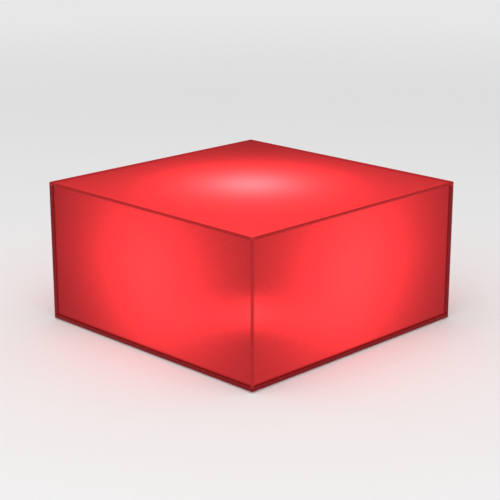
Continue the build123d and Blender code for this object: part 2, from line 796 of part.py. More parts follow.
# ---- Control board over the well, on its bosses ----
with BuildPart() as control_board:
    with BuildSketch(Plane.XY.offset(z_board)):
        with Locations(well_centre):
            Rectangle(control_board_length, control_board_width)
        with Locations(*board_hole_places):
            Circle(m25_clear, mode=Mode.SUBTRACT)
    extrude(amount=board_thickness)
save(control_board, "control_board")

control_board_screws = m25_screws(
    [Plane.XY.offset(z_board_top)], board_hole_places, board_thickness + board_screw_bite
)
save(control_board_screws, "control_board_screws")


def board_block(place, size, height, corner=0.0):
    """A rectangular component on the control board's upper face."""
    with BuildPart() as block:
        with BuildSketch(Plane.XY.offset(z_board_top)):
            with Locations(place):
                if corner > 0:
                    RectangleRounded(size[0], size[1], corner)
                else:
                    Rectangle(size[0], size[1])
        extrude(amount=height)
    return block


def on_board(place):
    """A place given from the control board's centre."""
    return (place[0], place[1] + well_centre_y)


save(board_block(on_board(driver_chip_place), driver_chip_size, chip_height), "led_driver_chip")
save(board_block(on_board(charger_chip_place), charger_chip_size, chip_height), "charger_chip")
driver_inductor = board_block(
    on_board(inductor_place), (inductor_side, inductor_side), inductor_height, inductor_corner
)
save(driver_inductor, "driver_inductor")
save(board_block(battery_connector_place, battery_connector_size, connector_height), "battery_connector")
save(board_block(led_connector_place, led_connector_size, connector_height), "led_connector")

with BuildPart() as smoothing_capacitor:
    with BuildSketch(Plane.XY.offset(z_board_top)):
        with Locations(on_board(capacitor_place)):
            Circle(capacitor_radius)
    extrude(amount=capacitor_height)
    fillet(smoothing_capacitor.edges().filter_by(GeomType.CIRCLE), radius=capacitor_crimp)
save(smoothing_capacitor, "smoothing_capacitor")

# ---- Tact switch under the board, and the plunger that the button pushes ----
z_switch = z_board - switch_height
z_plunger = z_switch - plunger_proud
with BuildPart() as tact_switch:
    with BuildSketch(Plane.XY.offset(z_switch)):
        with Locations((button_x, well_centre_y)):
            Rectangle(switch_side, switch_side)
    extrude(amount=switch_height)
    with BuildSketch(Plane.XY.offset(z_switch)):
        with Locations((button_x, well_centre_y)):
            Circle(plunger_radius + running_gap)
    extrude(amount=plunger_depth + 2 * plunger_travel, mode=Mode.SUBTRACT)
save(tact_switch, "tact_switch")

with BuildPart() as switch_plunger:
    with BuildSketch(Plane.XY.offset(z_plunger)):
        with Locations((button_x, well_centre_y)):
            Circle(plunger_radius)
    extrude(amount=plunger_proud + plunger_depth)
save(switch_plunger, "switch_plunger")

# ---- Power button: a rubber-faced cap in the well's roof, kept in by its flange ----
z_button_top = z_plunger - button_switch_gap
z_button_flange = z_roof_top + button_rest_gap
with BuildPart() as power_button:
    with BuildSketch(Plane.XY.offset(z_roof - button_height)):
        with Locations((button_x, well_centre_y)):
            Circle(button_radius)
    extrude(amount=z_button_flange - z_roof + button_height)
    with BuildSketch(Plane.XY.offset(z_button_flange)):
        with Locations((button_x, well_centre_y)):
            Circle(button_radius + button_gap + button_flange)
    extrude(amount=button_flange_height)
    with BuildSketch(Plane.XY.offset(z_button_flange)):
        with Locations((button_x, well_centre_y)):
            Circle(plunger_radius + button_gap)
    extrude(amount=z_button_top - z_button_flange)
    face_edge = power_button.edges().sort_by(Axis.Z)[0]
    fillet(face_edge, radius=button_dish)
    with BuildSketch(Plane.XY.offset(z_roof - button_height)):
        with Locations((button_x, well_centre_y)):
            Circle(button_dish_radius)
    extrude(amount=button_dish, taper=button_dish_taper, mode=Mode.SUBTRACT)
save(power_button, "power_button")

# ---- Charge indicator: a small LED under the board and a clear rod down to the well ----
with BuildPart() as status_led:
    with BuildSketch(Plane.XY.offset(z_board)):
        with Locations((0, well_centre_y)):
            Rectangle(status_led_side, status_led_side)
    extrude(amount=-status_led_height)
save(status_led, "status_led")

with BuildPart() as status_light_pipe:
    with BuildSketch(Plane.XY.offset(z_roof - light_pipe_proud)):
        with Locations((0, well_centre_y)):
            Circle(light_pipe_radius)
    extrude(amount=z_board - status_led_height - board_gap - z_roof + light_pipe_proud)
    with BuildSketch(Plane.XY.offset(z_roof_top)):
        with Locations((0, well_centre_y)):
            Circle(light_pipe_radius + light_pipe_proud * 2)
    extrude(amount=light_pipe_proud * 2)
save(status_light_pipe, "status_light_pipe")

# ---- Charge socket: an oblong metal sleeve standing down from the board, with a plastic tongue ----
z_socket_mouth = z_roof + socket_recess
with BuildPart() as charge_socket:
    with BuildSketch(Plane.XY.offset(z_socket_mouth)):
        with Locations((port_x, well_centre_y)):
            SlotOverall(socket_length, socket_width)
    extrude(amount=z_board - z_socket_mouth)
    with BuildSketch(Plane.XY.offset(z_socket_mouth)):
        with Locations((port_x, well_centre_y)):
            SlotOverall(socket_length - 2 * socket_wall, socket_width - 2 * socket_wall)
    extrude(amount=socket_depth, mode=Mode.SUBTRACT)
save(charge_socket, "charge_socket")

with BuildPart() as socket_tongue:
    with BuildSketch(Plane.XY.offset(z_socket_mouth + tongue_recess)):
        with Locations((port_x, well_centre_y)):
            Rectangle(tongue_length, tongue_width)
    extrude(amount=socket_depth - tongue_recess)
save(socket_tongue, "socket_tongue")

with BuildPart() as port_seal:
    with BuildSketch(Plane.XY.offset(z_roof_top)):
        with Locations((port_x, well_centre_y)):
            SlotOverall(socket_length + 2 * port_seal_wall, socket_width + 2 * port_seal_wall)
            SlotOverall(socket_length + 2 * thread_gap, socket_width + 2 * thread_gap, mode=Mode.SUBTRACT)
    extrude(amount=port_seal_height)
save(port_seal, "port_seal")

# ---- Port cover: a hinged lid in the well, with a knuckle on the pin and a finger lip ----
z_cover_top = z_hinge + cover_thickness / 2
z_cover = z_hinge - cover_thickness / 2
cover_plate_end = hinge_x - knuckle_radius - hinge_side_gap
cover_free_edge = hinge_x - cover_reach
cover_length = cover_plate_end - cover_free_edge
with BuildPart() as port_cover:
    with BuildSketch(Plane.XY.offset(z_cover)):
        with Locations((cover_free_edge + cover_length / 2, well_centre_y)):
            RectangleRounded(cover_length, cover_width, cover_corner)
        with Locations(((cover_plate_end - cover_corner + hinge_x) / 2, well_centre_y)):
            Rectangle(hinge_x - cover_plate_end + cover_corner, knuckle_length)
    extrude(amount=cover_thickness)
    with BuildSketch(Plane.XY.offset(z_cover)):
        with Locations((cover_free_edge + cover_lip, well_centre_y)):
            Rectangle(cover_lip, knuckle_length)
    extrude(amount=-cover_lip)
    with BuildSketch(Plane.XZ.offset(-well_centre_y)):
        with Locations((hinge_x, z_hinge)):
            Circle(knuckle_radius)
    extrude(amount=knuckle_length / 2, both=True)
    with BuildSketch(Plane.XZ.offset(-well_centre_y)):
        with Locations((hinge_x, z_hinge)):
            Circle(hinge_pin_radius + running_gap)
    extrude(amount=knuckle_length / 2, both=True, mode=Mode.SUBTRACT)
save(port_cover, "port_cover")

pin_length = knuckle_length + 2 * (hinge_side_gap + hinge_ear_length)
with BuildPart() as cover_hinge_pin:
    with BuildSketch(Plane.XZ.offset(-well_centre_y)):
        with Locations((hinge_x, z_hinge)):
            Circle(hinge_pin_radius)
    extrude(amount=pin_length / 2, both=True)
save(cover_hinge_pin, "cover_hinge_pin")

with BuildPart() as cover_seal:
    with BuildSketch(Plane.XY.offset(z_cover_top)):
        with Locations((port_x, well_centre_y)):
            SlotOverall(port_length + 2 * seal_end_margin, cover_width - 2 * seal_inset)
    extrude(amount=z_roof - seal_gap - z_cover_top)
    with BuildSketch(Plane.XY.offset(z_roof - seal_gap)):
        with Locations((port_x, well_centre_y)):
            SlotOverall(port_length - 2 * seal_plug_gap, port_width - 2 * seal_plug_gap)
    extrude(amount=seal_plug_height)
save(cover_seal, "cover_seal")
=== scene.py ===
import math

import bmesh
import bpy
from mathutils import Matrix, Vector


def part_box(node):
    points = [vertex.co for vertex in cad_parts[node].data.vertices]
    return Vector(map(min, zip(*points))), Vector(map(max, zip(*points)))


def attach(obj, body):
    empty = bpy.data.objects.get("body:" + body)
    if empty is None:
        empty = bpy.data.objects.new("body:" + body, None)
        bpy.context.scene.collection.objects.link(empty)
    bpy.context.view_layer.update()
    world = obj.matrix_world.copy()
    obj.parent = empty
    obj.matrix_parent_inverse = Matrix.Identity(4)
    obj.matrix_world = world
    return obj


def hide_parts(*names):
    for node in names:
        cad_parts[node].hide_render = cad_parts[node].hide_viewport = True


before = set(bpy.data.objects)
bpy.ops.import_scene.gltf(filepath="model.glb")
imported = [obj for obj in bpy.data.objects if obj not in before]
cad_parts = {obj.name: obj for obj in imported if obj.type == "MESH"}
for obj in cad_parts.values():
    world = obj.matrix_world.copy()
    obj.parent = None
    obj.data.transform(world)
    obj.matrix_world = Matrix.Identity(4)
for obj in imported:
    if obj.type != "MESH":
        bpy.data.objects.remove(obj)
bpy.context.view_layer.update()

# ---- Base plate ----
# The floor of the light, moulded in white ABS with a fine spark-eroded grain underneath.
# Everything inside is screwed to its bosses. The core's red light leaking through its thin rim is
# painted on as a glow.
base_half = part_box("base_plate")[1].x
base_lighter = (0.82, 0.82, 0.81, 1.0)
base_darker = (0.74, 0.74, 0.73, 1.0)
base_roughness = (0.5, 0.66)
base_grains = 1900.0
base_grain_depth = 0.000025
base_leak_width = 0.007
base_leak_glow = (0.15, 0.007, 0.008, 1.0)
unlit = (0.0, 0.0, 0.0, 1.0)
pin_marks = [(0.052, 0.020), (0.030, 0.074), (0.074, 0.046)]  # left by the mould, in each quarter
pin_mark_radius = 0.0035
pin_mark_line = 0.00022
pin_mark_depth = 0.00008


class Level:
    """A number that varies over a surface. Sums with it add Math nodes to its material."""

    def __init__(self, tree, socket):
        self.tree = tree
        self.socket = socket

    def math(self, operation, *others):
        node = self.tree.nodes.new("ShaderNodeMath")
        node.operation = operation
        for socket, value in zip(node.inputs, (self, *others)):
            if isinstance(value, Level):
                self.tree.links.new(value.socket, socket)
            else:
                socket.default_value = value
        return Level(self.tree, node.outputs[0])

    def __add__(self, other):
        return self.math("ADD", other)

    def __sub__(self, other):
        return self.math("SUBTRACT", other)

    def __rsub__(self, other):
        return self * -1.0 + other

    def __mul__(self, other):
        return self.math("MULTIPLY", other)

    def __truediv__(self, other):
        return self.math("DIVIDE", other)

    def __pow__(self, other):
        return self.math("POWER", other)

    def size(self):
        return self.math("ABSOLUTE")

    def smaller(self, other):
        return self.math("MINIMUM", other)

    def larger(self, other):
        return self.math("MAXIMUM", other)

    def above(self, height):
        return self.math("GREATER_THAN", height)

    def exponential(self):
        return self.math("EXPONENT")

    def bell(self, width):
        """1 at zero, falling smoothly on both sides."""
        share = self / width
        return (share * share * -1.0).exponential()

    def fall(self, start, end):
        """1 below start, 0 above end, smooth between."""
        node = self.tree.nodes.new("ShaderNodeMapRange")
        node.interpolation_type = "SMOOTHSTEP"
        self.tree.links.new(self.socket, node.inputs["Value"])
        node.inputs["From Min"].default_value = start
        node.inputs["From Max"].default_value = end
        node.inputs["To Min"].default_value = 1.0
        node.inputs["To Max"].default_value = 0.0
        return Level(self.tree, node.outputs["Result"])

    def between(self, start, end):
        """start where this is 0, end where it is 1."""
        return self * (end - start) + start

    def feed(self, socket):
        self.tree.links.new(self.socket, socket)


def split_point(tree, socket):
    """The three coordinates of a point as levels."""
    node = tree.nodes.new("ShaderNodeSeparateXYZ")
    tree.links.new(socket, node.inputs[0])
    return [Level(tree, output) for output in node.outputs]


def object_point(tree):
    """The point on the surface, in the object's own metres."""
    return tree.nodes.new("ShaderNodeTexCoord").outputs["Object"]


def flat_distance(x, y):
    """The length that a step along x and a step along y make together."""
    return (x * x + y * y) ** 0.5


def noise(tree, point, scale, detail):
    """Cloudy noise around 0.5. The scale is a number, or a level that carries one."""
    node = tree.nodes.new("ShaderNodeTexNoise")
    tree.links.new(point, node.inputs["Vector"])
    if isinstance(scale, Level):
        scale.feed(node.inputs["Scale"])
    else:
        node.inputs["Scale"].default_value = scale
    node.inputs["Detail"].default_value = detail
    return Level(tree, node.outputs["Fac"])


def mix_colours(tree, share, first, second):
    """The first colour where the share is 0, and the second where it is 1."""
    node = tree.nodes.new("ShaderNodeMix")
    node.data_type = "RGBA"
    share.feed(node.inputs["Factor"])
    for socket, colour in zip([s for s in node.inputs if s.type == "RGBA"], (first, second)):
        if isinstance(colour, bpy.types.NodeSocket):
            tree.links.new(colour, socket)
        else:
            socket.default_value = colour
    return [s for s in node.outputs if s.type == "RGBA"][0]


def relief(tree, shader, height, depth):
    """Raises the surface by depth, in metres, where the height is 1."""
    node = tree.nodes.new("ShaderNodeBump")
    node.inputs["Distance"].default_value = depth
    height.feed(node.inputs["Height"])
    tree.links.new(node.outputs["Normal"], shader.inputs["Normal"])


def new_group(name, inputs, outputs):
    """A node group with its inputs and outputs, each a name and a socket type."""
    group = bpy.data.node_groups.new(name, "ShaderNodeTree")
    for label, kind in inputs:
        group.interface.new_socket(label, in_out="INPUT", socket_type="NodeSocket" + kind)
    for label, kind in outputs:
        group.interface.new_socket(label, in_out="OUTPUT", socket_type="NodeSocket" + kind)
    entering = group.nodes.new("NodeGroupInput").outputs
    return group, entering, group.nodes.new("NodeGroupOutput").inputs


def place_group(tree, group, **values):
    """Puts a group in a material with its own values. An underscore stands for a space."""
    node = tree.nodes.new("ShaderNodeGroup")
    node.node_tree = group
    for label, value in values.items():
        socket = node.inputs[label.replace("_", " ")]
        if isinstance(value, bpy.types.NodeSocket):
            tree.links.new(value, socket)
        else:
            socket.default_value = value
    return {output.name: Level(tree, output) for output in node.outputs}


def new_material(name, metallic=0.0, specular=0.5):
    """A material with its Principled shader."""
    material = bpy.data.materials.new(name)
    material.use_nodes = True
    shader = material.node_tree.nodes["Principled BSDF"]
    shader.inputs["Metallic"].default_value = metallic
    shader.inputs["Specular IOR Level"].default_value = specular
    return material, material.node_tree, shader


# Single grains make the relief. The tone follows broad clouds of them more than the grains.
fine_detail = 2.0
broad_detail = 3.0
clouds_per_grain = 0.03
broad_share = 0.75
grain_group, entering, leaving = new_group(
    "Moulded grain",
    [("Point", "Vector"), ("Grains Per Metre", "Float")],
    [("Tone", "Float"), ("Height", "Float")],
)
grains_per_metre = Level(grain_group, entering["Grains Per Metre"])
fine = noise(grain_group, entering["Point"], grains_per_metre, fine_detail)
broad = noise(grain_group, entering["Point"], grains_per_metre * clouds_per_grain, broad_detail)
(broad * broad_share + fine * (1.0 - broad_share)).feed(leaving["Tone"])
fine.feed(leaving["Height"])
roughness_spread = 0.08


def grained(name, darker, lighter, roughness, grains, depth, metallic=0.0, specular=0.5):
    """A finish whose tone, roughness and relief follow a moulded, cast or drawn grain."""
    material, tree, shader = new_material(name, metallic, specular)
    grain = place_group(tree, grain_group, Point=object_point(tree), Grains_Per_Metre=grains)
    tree.links.new(mix_colours(tree, grain["Tone"], darker, lighter), shader.inputs["Base Color"])
    polished, dull = roughness - roughness_spread, roughness + roughness_spread
    grain["Tone"].between(polished, dull).feed(shader.inputs["Roughness"])
    relief(tree, shader, grain["Height"], depth)
    return material


def dress(material, *nodes):
    """Gives CAD nodes their finish."""
    for name in nodes:
        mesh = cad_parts[name].data
        mesh.materials.clear()
        mesh.materials.append(material)


base_material, tree, shader = new_material("white moulded base plastic", specular=0.4)
point = object_point(tree)
x, y, z = split_point(tree, point)
grain = place_group(tree, grain_group, Point=point, Grains_Per_Metre=base_grains)
tree.links.new(mix_colours(tree, grain["Tone"], base_darker, base_lighter), shader.inputs["Base Color"])
grain["Tone"].between(*base_roughness).feed(shader.inputs["Roughness"])
height = grain["Height"] * (base_grain_depth / pin_mark_depth)
for mark_x, mark_y in pin_marks:
    off_centre = flat_distance(x.size() - mark_x, y.size() - mark_y)
    height = height - (off_centre - pin_mark_radius).bell(pin_mark_line)
relief(tree, shader, height, pin_mark_depth)
# Painted glow: a red emission on the rim that fades inwards, for the core's light coming through it
to_rim = base_half - x.size().larger(y.size())
leak = to_rim.fall(0.0, base_leak_width)
leak_light = mix_colours(tree, leak * leak, unlit, base_leak_glow)
tree.links.new(leak_light, shader.inputs["Emission Color"])
shader.inputs["Emission Strength"].default_value = 1.0
dress(base_material, "base_plate")

# ---- Feet ----
# Four thick discs of black rubber, pressed and bonded into pockets under the base plate.
# Their faces have fine moulded rings, and pick up a little pale dust from what they stand on.
foot_low, foot_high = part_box("foot_front_right")
foot_centre = ((foot_low.x + foot_high.x) / 2, (foot_high.y + foot_low.y) / -2)
foot_black = (0.020, 0.020, 0.021, 1.0)
foot_dusty = (0.075, 0.072, 0.068, 1.0)
foot_roughness = (0.72, 0.92)
foot_grains = 1400.0
foot_grain_share = 0.15
foot_ring_pitch = 0.0011
foot_ring_depth = 0.00012
foot_clean_below = 0.42  # no dust lies where the grain's tone is under this
foot_dust_strength = 2.0

foot_material, tree, shader = new_material("matt foot rubber", specular=0.3)
point = object_point(tree)
x, y, z = split_point(tree, point)
from_centre = flat_distance(x.size() - foot_centre[0], y.size() - foot_centre[1])
rings = (from_centre * (math.tau / foot_ring_pitch)).math("SINE") * 0.5 + 0.5
grain = place_group(tree, grain_group, Point=point, Grains_Per_Metre=foot_grains)
dust = (grain["Tone"] - foot_clean_below).larger(0.0) * foot_dust_strength * rings
tree.links.new(mix_colours(tree, dust, foot_black, foot_dusty), shader.inputs["Base Color"])
grain["Tone"].between(*foot_roughness).feed(shader.inputs["Roughness"])
relief(tree, shader, rings + grain["Height"] * foot_grain_share, foot_ring_depth)
dress(foot_material, "foot_front_left", "foot_front_right", "foot_rear_left", "foot_rear_right")

# ---- Screws and inserts ----
# Zinc-plated steel screws with six-sided drives hold the light together from below and inside.
# Those into the core turn in knurled brass inserts, pressed into the ring.
screw_darker = (0.46, 0.46, 0.48, 1.0)
screw_lighter = (0.66, 0.66, 0.67, 1.0)
insert_darker = (0.50, 0.33, 0.12, 1.0)
insert_lighter = (0.74, 0.55, 0.27, 1.0)
screws = grained(
    "zinc plated steel",
    screw_darker,
    screw_lighter,
    roughness=0.34,
    grains=2600.0,
    depth=0.000006,
    metallic=1.0,
)
dress(
    screws,
    "base_screws",
    "tray_screws",
    "post_foot_screws",
    "post_side_screws",
    "led_board_screws",
    "holder_screws",
    "control_board_screws",
)
inserts = grained(
    "knurled brass",
    insert_darker,
    insert_lighter,
    roughness=0.38,
    grains=3400.0,
    depth=0.00006,
    metallic=1.0,
)
dress(inserts, "threaded_inserts")

# ---- Seals ----
# A flat gasket under the core's ring and two small seals round the charging port, in grey silicone.
# They are cut or moulded, and squeezed by the screws or by the shut cover.
seal_darker = (0.30, 0.30, 0.31, 1.0)
seal_lighter = (0.42, 0.42, 0.43, 1.0)
seals = grained(
    "grey silicone",
    seal_darker,
    seal_lighter,
    roughness=0.62,
    grains=900.0,
    depth=0.00002,
    specular=0.35,
)
dress(seals, "base_gasket", "port_seal", "cover_seal")

# ---- Mounting ring, reflector tray and post foot ----
# Three matt white mouldings: the ring bonded inside the core, the tray that throws the light up,
# and the foot that the post stands on.
inner_darker = (0.78, 0.78, 0.77, 1.0)
inner_lighter = (0.88, 0.88, 0.87, 1.0)
inner_white = grained(
    "matt white inner plastic",
    inner_darker,
    inner_lighter,
    roughness=0.7,
    grains=1600.0,
    depth=0.00002,
    specular=0.3,
)
dress(inner_white, "mounting_ring", "reflector_tray", "post_foot")

# ---- Power button ----
# A dished soft-touch rubber button under the base, with a raised power mark to find by feel.
# It slides in its hole, and its flange keeps it in.
button_low, button_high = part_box("power_button")
button_centre = Vector(((button_low.x + button_high.x) / 2, (button_low.y + button_high.y) / 2))
button_dish = 0.0006
button_darker = (0.105, 0.105, 0.112, 1.0)
button_lighter = (0.165, 0.165, 0.172, 1.0)
mark_radius = 0.0029
mark_gap_half = math.radians(38.0)
mark_steps = 40
mark_bar = (0.0006, 0.0036)  # from the button's centre
mark_width = 0.00075
mark_height = 0.00035
rib_section_steps = 8
rib_end_steps = 4
rib_buried_share = 0.6  # of its height, so that no gap shows under a rib


def new_piece(name, shape, material):
    """A smooth-shaded piece of the scene, made from a bmesh that it uses up."""
    mesh = bpy.data.meshes.new(name)
    shape.to_mesh(mesh)
    shape.free()
    mesh.shade_smooth()
    mesh.materials.append(material)
    piece = bpy.data.objects.new(name, mesh)
    bpy.context.scene.collection.objects.link(piece)
    return piece


def rib_stations(path, width):
    """Where a rib's cross-sections stand: place, direction, and share of the full width."""
    stations = []
    for index, place in enumerate(path):
        along = (path[min(index + 1, len(path) - 1)] - path[max(index - 1, 0)]).normalized()
        rounding = [(0.0, 1.0)]
        if index in (0, len(path) - 1):
            angles = [math.pi / 2 * step / rib_end_steps for step in range(rib_end_steps)]
            rounding = [(math.sin(angle), math.cos(angle)) for angle in angles]
            if index == 0:
                rounding = [(-reach, share) for reach, share in reversed(rounding)]
        stations += [(place + along * reach * width / 2, along, share) for reach, share in rounding]
    return stations


def raised_ribs(name, paths, width, rib_height, face, material, body):
    """Rounded ribs that stand down from a level face, one along each path of points."""
    shape = bmesh.new()
    buried = rib_height * rib_buried_share
    for path in paths:
        loops = []
        for place, along, share in rib_stations(path, width):
            across = Vector((-along.y, along.x)) * share * width / 2
            loop = [shape.verts.new((*(place + across), face + buried))]
            for step in range(rib_section_steps + 1):
                turn = math.pi * step / rib_section_steps
                spot = place + across * math.cos(turn)
                loop.append(shape.verts.new((*spot, face - rib_height * share * math.sin(turn))))
            loop.append(shape.verts.new((*(place - across), face + buried)))
            loops.append(loop)
        for before, after in zip(loops, loops[1:]):
            for index in range(len(before)):
                following = (index + 1) % len(before)
                shape.faces.new((before[index], before[following], after[following], after[index]))
        shape.faces.new(loops[0])
        shape.faces.new(list(reversed(loops[-1])))
    bmesh.ops.recalc_face_normals(shape, faces=shape.faces)
    piece = new_piece(name, shape, material)
    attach(piece, body)


button_rubber = grained(
    "soft-touch rubber",
    button_darker,
    button_lighter,
    roughness=0.66,
    grains=2200.0,
    depth=0.00001,
    specular=0.35,
)
dress(button_rubber, "power_button")
mark_sweep = math.tau - 2 * mark_gap_half
mark_arc = []
for step in range(mark_steps + 1):
    turn = mark_gap_half + mark_sweep * step / mark_steps
    mark_arc.append(button_centre + Vector((math.sin(turn), -math.cos(turn))) * mark_radius)
mark_line = [button_centre + Vector((0.0, -reach)) for reach in mark_bar]
raised_ribs(
    "button_mark",
    [mark_arc, mark_line],
    mark_width,
    mark_height,
    button_low.z + button_dish,
    button_rubber,
    "button",
)

# ---- Port cover ----
# A small hinged flap of the same rubber over the charging port, with grip ribs by its lip.
# It turns on a nickel-plated steel pin between two ears, and its seal plugs the port.
cover_low, cover_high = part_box("port_cover")
cover_centre = (cover_low.y + cover_high.y) / 2
cover_face = 0.00635  # the level of its outer face
grip_first = 0.0016  # from the cover's free edge
grip_pitch = 0.0014
grip_count = 4
grip_reach = 0.0043
grip_width = 0.0008
grip_height = 0.00035
nickel_darker = (0.52, 0.51, 0.47, 1.0)
nickel_lighter = (0.72, 0.71, 0.66, 1.0)

dress(button_rubber, "port_cover")
grip_paths = []
for count in range(grip_count):
    grip_x = cover_low.x + grip_first + grip_pitch * count
    grip_ends = (-grip_reach, 0.0, grip_reach)
    grip_paths.append([Vector((grip_x, cover_centre + reach)) for reach in grip_ends])
raised_ribs(
    "cover_grip",
    grip_paths,
    grip_width,
    grip_height,
    cover_face,
    button_rubber,
    "cover",
)
nickel = grained(
    "nickel plated steel",
    nickel_darker,
    nickel_lighter,
    roughness=0.28,
    grains=3000.0,
    depth=0.000004,
    metallic=1.0,
)
dress(nickel, "cover_hinge_pin")

# ---- Control board ----
# A green glass-laminate board over the well, with the driver, charger, switch and sockets on it.
# Copper tracks show through the solder mask.
board_green = (0.012, 0.085, 0.035, 1.0)
board_track = (0.045, 0.20, 0.085, 1.0)
board_tracks_per_metre = 900.0
board_track_gap = 0.12
board_track_length = 3.7
board_track_step = 1.3
board_track_depth = 0.00003
board_grains = 1500.0
board_grain_share = 0.2
board_roughness = (0.22, 0.38)
chip_darker = (0.018, 0.018, 0.018, 1.0)
chip_lighter = (0.045, 0.045, 0.045, 1.0)
nylon_darker = (0.72, 0.70, 0.62, 1.0)
nylon_lighter = (0.86, 0.85, 0.79, 1.0)
ferrite_darker = (0.06, 0.06, 0.065, 1.0)
ferrite_lighter = (0.16, 0.16, 0.17, 1.0)
can_darker = (0.56, 0.56, 0.58, 1.0)
can_lighter = (0.74, 0.74, 0.75, 1.0)

board_material, tree, shader = new_material("green solder mask")
point = object_point(tree)
tracks = tree.nodes.new("ShaderNodeTexBrick")
tree.links.new(point, tracks.inputs["Vector"])
tracks.inputs["Scale"].default_value = board_tracks_per_metre
tracks.inputs["Mortar Size"].default_value = board_track_gap
tracks.inputs["Brick Width"].default_value = board_track_length
tracks.inputs["Row Height"].default_value = board_track_step
track = Level(tree, tracks.outputs["Fac"])
grain = place_group(tree, grain_group, Point=point, Grains_Per_Metre=board_grains)
tree.links.new(mix_colours(tree, track, board_green, board_track), shader.inputs["Base Color"])
grain["Tone"].between(*board_roughness).feed(shader.inputs["Roughness"])
relief(tree, shader, track + grain["Height"] * board_grain_share, board_track_depth)
dress(board_material, "control_board")
dress(nickel, "charge_socket")
chip_black = grained(
    "moulded epoxy", chip_darker, chip_lighter, roughness=0.5, grains=4200.0, depth=0.000012
)
dress(chip_black, "led_driver_chip", "charger_chip", "tact_switch", "socket_tongue")
nylon = grained(
    "moulded nylon", nylon_darker, nylon_lighter, roughness=0.48, grains=2400.0, depth=0.00001
)
dress(nylon, "battery_connector", "led_connector", "switch_plunger", "status_led")
ferrite = grained(
    "pressed ferrite",
    ferrite_darker,
    ferrite_lighter,
    roughness=0.7,
    grains=3200.0,
    depth=0.00004,
    specular=0.3,
)
dress(ferrite, "driver_inductor")
can = grained(
    "drawn aluminium can",
    can_darker,
    can_lighter,
    roughness=0.3,
    grains=1800.0,
    depth=0.000005,
    metallic=0.9,
)
dress(can, "smoothing_capacitor")

# ---- Light pipe ----
# A short rod of clear acrylic with a collar, glued into a hole in the roof of the control well.
# It carries the charging light from the board's status LED down to the underside.
pipe_tint = (0.86, 0.90, 0.90, 1.0)
pipe_cloudy = (0.74, 0.80, 0.81, 1.0)
pipe = grained(
    "clear acrylic rod", pipe_cloudy, pipe_tint, roughness=0.16, grains=700.0, depth=0.000004
)
dress(pipe, "status_light_pipe")

# ---- Battery ----
# Two rechargeable cells in shrunk blue sleeves lie in a black open holder, against nickel contacts.
# A strip of closed-cell foam over them takes up the slack under the tray.
holder_darker = (0.022, 0.022, 0.025, 1.0)
holder_lighter = (0.050, 0.050, 0.055, 1.0)
sleeve_blue = (0.022, 0.16, 0.24, 1.0)
sleeve_light = (0.040, 0.24, 0.33, 1.0)
sleeve_roughness = (0.24, 0.36)
sleeve_grains = 1100.0
sleeve_grain_depth = 0.00001
cell_metal = (0.62, 0.61, 0.57, 1.0)
cell_sleeve_end = 0.0317  # from the middle of the cell to the end of its sleeve
foam_low, foam_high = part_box("battery_foam_pad")
foam_darker = (0.016, 0.016, 0.017, 1.0)
foam_lighter = (0.060, 0.060, 0.062, 1.0)
foam_roughness = (0.95, 0.75)
foam_cells = 2400.0
foam_cell_depth = 0.00015
foam_edge = 0.0006
foam_edge_steps = 3
foam_edge_profile = 0.6
foam_long = 0.04  # an edge with a longer run than this goes the length of the strip
foam_wide = 0.02  # and one with a longer run than this goes across it
foam_spans = (28, 15)
groove_depth = 0.00025
groove_run_out = 0.004

holder = grained(
    "black holder plastic",
    holder_darker,
    holder_lighter,
    roughness=0.55,
    grains=1900.0,
    depth=0.00002,
)
dress(holder, "battery_holder")
dress(nickel, "contact_positive", "contact_negative", "contact_link")
cell_material, tree, shader = new_material("shrunk blue sleeve")
point = object_point(tree)
x, y, z = split_point(tree, point)
bare = x.size().above(cell_sleeve_end)
grain = place_group(tree, grain_group, Point=point, Grains_Per_Metre=sleeve_grains)
sleeve = mix_colours(tree, grain["Tone"], sleeve_blue, sleeve_light)
tree.links.new(mix_colours(tree, bare, sleeve, cell_metal), shader.inputs["Base Color"])
bare.feed(shader.inputs["Metallic"])
grain["Tone"].between(*sleeve_roughness).feed(shader.inputs["Roughness"])
relief(tree, shader, grain["Height"], sleeve_grain_depth)
dress(cell_material, "battery_cell_front", "battery_cell_rear")

foam_material, tree, shader = new_material("closed-cell foam", specular=0.2)
point = object_point(tree)
bubbles = tree.nodes.new("ShaderNodeTexVoronoi")
tree.links.new(point, bubbles.inputs["Vector"])
bubbles.inputs["Scale"].default_value = foam_cells
bubble = Level(tree, bubbles.outputs["Distance"])
tree.links.new(mix_colours(tree, bubble, foam_lighter, foam_darker), shader.inputs["Base Color"])
bubble.between(*foam_roughness).feed(shader.inputs["Roughness"])
relief(tree, shader, bubble, foam_cell_depth)


def edges_along(shape, axis, shortest):
    """The edges whose two ends lie further apart than this along one axis."""
    ends = [(edge, edge.verts[0].co[axis], edge.verts[1].co[axis]) for edge in shape.edges]
    return [edge for edge, start, end in ends if abs(start - end) > shortest]


foam_size = foam_high - foam_low
foam_middle = (foam_low + foam_high) / 2
shape = bmesh.new()
bmesh.ops.create_cube(shape, size=1.0)
bmesh.ops.scale(shape, vec=foam_size, verts=shape.verts)
bmesh.ops.translate(shape, vec=foam_middle, verts=shape.verts)
bmesh.ops.bevel(
    shape,
    geom=shape.edges,
    offset=foam_edge,
    segments=foam_edge_steps,
    profile=foam_edge_profile,
    affect="EDGES",
)
for axis, shortest, spans in ((0, foam_long, foam_spans[0]), (1, foam_wide, foam_spans[1])):
    lengthways = edges_along(shape, axis, shortest)
    bmesh.ops.subdivide_edges(shape, edges=lengthways, cuts=spans, use_grid_fill=True)
for corner in shape.verts:
    if corner.co.z < foam_middle.z:  # each cell presses a shallow groove into the foam
        across = math.cos((corner.co.y - foam_middle.y) / foam_size.y * 2 * math.tau)
        inside = min(1.0, (foam_high.x - abs(corner.co.x)) / groove_run_out)
        corner.co.z += groove_depth * inside * (1 - across) / 2
foam = new_piece("battery_foam", shape, foam_material)
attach(foam, "housing")
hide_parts("battery_foam_pad")

